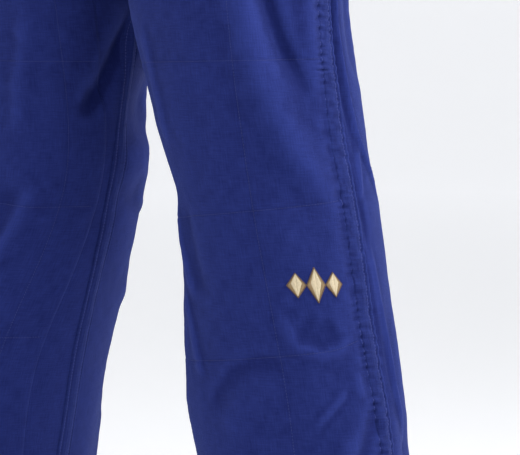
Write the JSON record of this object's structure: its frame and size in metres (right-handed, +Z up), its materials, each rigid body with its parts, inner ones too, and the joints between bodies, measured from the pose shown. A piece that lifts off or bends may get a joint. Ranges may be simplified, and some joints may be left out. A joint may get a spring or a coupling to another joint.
{
  "type": "martial arts trousers",
  "caption": "Loose blue cotton judo-type trousers as worn, with waistband, seat, gusset, felled side seams, quilted reinforced knees, hems and a small embroidered ornament",
  "frame": {"origin": "middle of the waist opening at the top edge of the waistband", "axes": "+Z up, -Y the way the wearer faces, +X the wearer's left"},
  "size_m": [0.6361, 0.276, 0.98],
  "materials": {
    "blue_cotton": "matt plain weave cotton",
    "quilted_cotton": "matt plain weave cotton, stitched in a square grid",
    "seam_cotton": "matt cotton, felled and sewn with two rows of thread",
    "elastic": "woven elastic",
    "gold_thread": "satin stitch in shiny thread",
    "label_cloth": "blank woven label"
  },
  "bodies": {
    "seat": {"back_rise_seam": "seam_cotton", "crotch_gusset": "blue_cotton", "front_rise_seam": "seam_cotton", "left_back_panel_hip": "blue_cotton", "left_back_panel_seat": "blue_cotton", "left_eyelet": "seam_cotton", "left_front_loop": "seam_cotton", "left_front_panel_hip": "blue_cotton", "left_front_panel_seat": "blue_cotton", "left_reinforcement_hip": "quilted_cotton", "left_side_seam_hip": "seam_cotton", "left_side_seam_seat": "seam_cotton", "right_back_panel_hip": "blue_cotton", "right_back_panel_seat": "blue_cotton", "right_eyelet": "seam_cotton", "right_front_loop": "seam_cotton", "right_front_panel_hip": "blue_cotton", "right_front_panel_seat": "blue_cotton", "right_reinforcement_hip": "quilted_cotton", "right_side_seam_hip": "seam_cotton", "right_side_seam_seat": "seam_cotton", "size_label": "label_cloth", "waist_elastic": "elastic", "waistband": "blue_cotton", "waistband_facing": "seam_cotton"},
    "left_shin": {"emblem": "gold_thread", "left_back_panel_shin": "blue_cotton", "left_front_panel_shin": "blue_cotton", "left_hem": "blue_cotton", "left_inseam_shin": "seam_cotton", "left_reinforcement_shin": "quilted_cotton", "left_side_seam_shin": "seam_cotton"},
    "left_thigh": {"left_back_panel_knee": "blue_cotton", "left_back_panel_thigh": "blue_cotton", "left_front_panel_knee": "blue_cotton", "left_front_panel_thigh": "blue_cotton", "left_inseam_knee": "seam_cotton", "left_inseam_thigh": "seam_cotton", "left_reinforcement_knee": "quilted_cotton", "left_reinforcement_thigh": "quilted_cotton", "left_side_seam_knee": "seam_cotton", "left_side_seam_thigh": "seam_cotton"},
    "right_thigh": {"right_back_panel_knee": "blue_cotton", "right_back_panel_thigh": "blue_cotton", "right_front_panel_knee": "blue_cotton", "right_front_panel_thigh": "blue_cotton", "right_inseam_knee": "seam_cotton", "right_inseam_thigh": "seam_cotton", "right_reinforcement_knee": "quilted_cotton", "right_reinforcement_thigh": "quilted_cotton", "right_side_seam_knee": "seam_cotton", "right_side_seam_thigh": "seam_cotton"},
    "right_shin": {"right_back_panel_shin": "blue_cotton", "right_front_panel_shin": "blue_cotton", "right_hem": "blue_cotton", "right_inseam_shin": "seam_cotton", "right_reinforcement_shin": "quilted_cotton", "right_side_seam_shin": "seam_cotton"}
  },
  "joints": [
    {"name": "left_hip", "type": "hinge", "parent": "seat", "child": "left_thigh", "pos_m": [0.095, 0, -0.14], "axis": [-1, 0, 0], "range_deg": [-15, 90], "deforming": ["back_rise_seam", "crotch_gusset", "front_rise_seam", "left_back_panel_hip", "left_front_panel_hip", "left_reinforcement_hip", "left_side_seam_hip"]},
    {"name": "right_hip", "type": "hinge", "parent": "seat", "child": "right_thigh", "pos_m": [-0.095, 0, -0.14], "axis": [-1, 0, 0], "range_deg": [-15, 90], "deforming": ["back_rise_seam", "crotch_gusset", "front_rise_seam", "right_back_panel_hip", "right_front_panel_hip", "right_reinforcement_hip", "right_side_seam_hip"]},
    {"name": "left_knee", "type": "hinge", "parent": "left_thigh", "child": "left_shin", "pos_m": [0.163, -0.008, -0.56], "axis": [1, 0, 0], "range_deg": [0, 90], "deforming": ["left_back_panel_knee", "left_front_panel_knee", "left_inseam_knee", "left_reinforcement_knee", "left_side_seam_knee"]},
    {"name": "right_knee", "type": "hinge", "parent": "right_thigh", "child": "right_shin", "pos_m": [-0.14838, 0.00564, -0.56], "axis": [1, 0, 0], "range_deg": [0, 90], "deforming": ["right_back_panel_knee", "right_front_panel_knee", "right_inseam_knee", "right_reinforcement_knee", "right_side_seam_knee"]}
  ]
}
